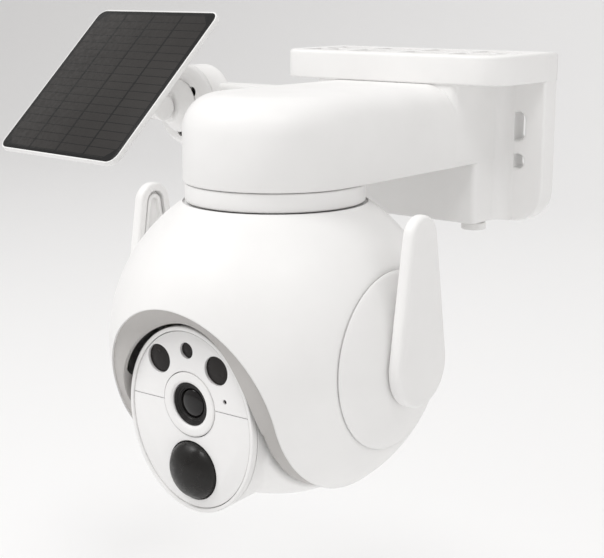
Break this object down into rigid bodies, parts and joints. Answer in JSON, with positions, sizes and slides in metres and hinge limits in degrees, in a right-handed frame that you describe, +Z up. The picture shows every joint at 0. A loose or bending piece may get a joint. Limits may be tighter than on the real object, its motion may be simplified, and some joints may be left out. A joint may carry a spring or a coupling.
{
  "type": "security camera",
  "caption": "Battery pan and tilt security camera: round white body with antennas hung from a wall or ceiling bracket, with a small swivelling solar panel on an arm.",
  "frame": {"origin": "centre of the wall plate's back face", "axes": "+Z up, -Y out of the wall towards the room, +X to the camera's own left, the wall is the plane Y = 0"},
  "size_m": [0.2594, 0.187, 0.1914],
  "materials": {
    "white": "satin",
    "face_white": "gloss",
    "liner": "matte",
    "lens_black": "satin",
    "smoked": "gloss",
    "lens_glass": "gloss",
    "steel": "satin",
    "motor_can": "satin",
    "gear_nylon": "satin",
    "circuit_board": "satin",
    "cell_can": "satin",
    "rubber": "matte",
    "solar_glass": "gloss"
  },
  "bodies": {
    "bracket": {"bracket_housing": "white", "arm_cover": "white", "pan_collar": "white", "pan_bearing": "steel", "pan_motor": "motor_can", "cable_grommet": "rubber", "solar_side_arm": "white", "solar_base_disc": "white", "solar_base_screw_1": "steel", "solar_base_screw_2": "steel", "solar_base_screw_3": "steel"},
    "pan_pinion": {"pan_pinion": "gear_nylon"},
    "globe": {"pan_gear": "gear_nylon", "pan_neck": "gear_nylon", "globe_shell": "white", "recess_liner": "liner", "globe_rear_cover": "white", "side_cap_left": "white", "side_cap_right": "white", "control_board": "circuit_board", "chassis": "gear_nylon", "main_board": "circuit_board", "battery_cell_1": "cell_can", "battery_cell_2": "cell_can", "battery_cradle": "gear_nylon", "speaker": "lens_black", "tilt_motor": "motor_can"},
    "tilt_pinion": {"tilt_pinion": "gear_nylon"},
    "head": {"tilt_gear": "gear_nylon", "tilt_shaft": "steel", "head_housing": "white", "head_bezel": "white", "face_plate_upper": "face_white", "face_plate_lower": "face_white", "lamp_window_left": "smoked", "lamp_window_right": "smoked", "day_sensor_window": "smoked", "lamp_board": "circuit_board", "lens_ring": "white", "lens_barrel": "lens_black", "lens_glass": "lens_glass", "sensor_board": "circuit_board", "pir_dome": "smoked", "pir_sensor": "steel"},
    "antenna_left": {"antenna_left": "white", "antenna_left_insert": "white"},
    "antenna_right": {"antenna_right": "white", "antenna_right_insert": "white"},
    "port_flap": {"port_flap": "rubber"},
    "power_button": {"power_button": "rubber"},
    "reset_button": {"reset_button": "rubber"},
    "solar_hub": {"solar_hub": "white", "solar_hinge_pin": "steel"},
    "solar_stem": {"solar_stem": "white"},
    "solar_panel": {"panel_socket": "white", "panel_tray": "white", "panel_glass": "solar_glass"}
  },
  "joints": [
    {"name": "pan", "type": "hinge", "parent": "bracket", "child": "globe", "pos_m": [0, -0.1235, 0], "axis": [0, 0, 1], "range_deg": [-177.5, 177.5]},
    {"name": "pan_pinion_spin", "type": "hinge", "parent": "bracket", "child": "pan_pinion", "pos_m": [0, -0.0973, 0], "axis": [0, 0, 1], "range_deg": [-600, 600]},
    {"name": "tilt", "type": "hinge", "parent": "globe", "child": "head", "pos_m": [0, -0.1235, -0.0742], "axis": [1, 0, 0], "range_deg": [-8, 40]},
    {"name": "tilt_pinion_spin", "type": "hinge", "parent": "globe", "child": "tilt_pinion", "pos_m": [-0.0339, -0.13943, -0.06385], "axis": [1, 0, 0], "range_deg": [-220, 75]},
    {"name": "antenna_left_swing", "type": "hinge", "parent": "globe", "child": "antenna_left", "pos_m": [0.069, -0.1235, -0.0742], "axis": [1, 0, 0], "range_deg": [-90, 90]},
    {"name": "antenna_right_swing", "type": "hinge", "parent": "globe", "child": "antenna_right", "pos_m": [-0.069, -0.1235, -0.0742], "axis": [1, 0, 0], "range_deg": [-90, 90]},
    {"name": "port_flap_open", "type": "hinge", "parent": "globe", "child": "port_flap", "pos_m": [0, -0.0563, -0.0825], "axis": [1, 0, 0], "range_deg": [-100, 0]},
    {"name": "power_button_press", "type": "slide", "parent": "globe", "child": "power_button", "axis": [0, -1, 0], "range_m": [0, 0.0007], "stiffness_N_per_m": 1500, "springref_m": -0.0007},
    {"name": "reset_button_press", "type": "slide", "parent": "globe", "child": "reset_button", "axis": [0, -1, 0], "range_m": [0, 0.0007], "stiffness_N_per_m": 1500, "springref_m": -0.0007},
    {"name": "solar_swivel", "type": "hinge", "parent": "bracket", "child": "solar_hub", "pos_m": [-0.132, -0.032, 0.0066], "axis": [0.1219, 0.9925, 0], "range_deg": [-30, 30]},
    {"name": "solar_tilt", "type": "hinge", "parent": "solar_hub", "child": "solar_stem", "pos_m": [-0.13444, -0.05185, 0.0066], "axis": [0.9925, -0.1219, 0], "range_deg": [-30, 40]},
    {"name": "panel_turn", "type": "hinge", "parent": "solar_stem", "child": "solar_panel", "pos_m": [-0.13707, -0.07326, 0.01186], "axis": [-0.0862, -0.7018, 0.7071], "range_deg": [-60, 60]}
  ],
  "couplings": [
    {"joint": "pan_pinion_spin", "follows": "pan", "ratio": -3.3333},
    {"joint": "tilt_pinion_spin", "follows": "tilt", "ratio": -3.2727}
  ]
}
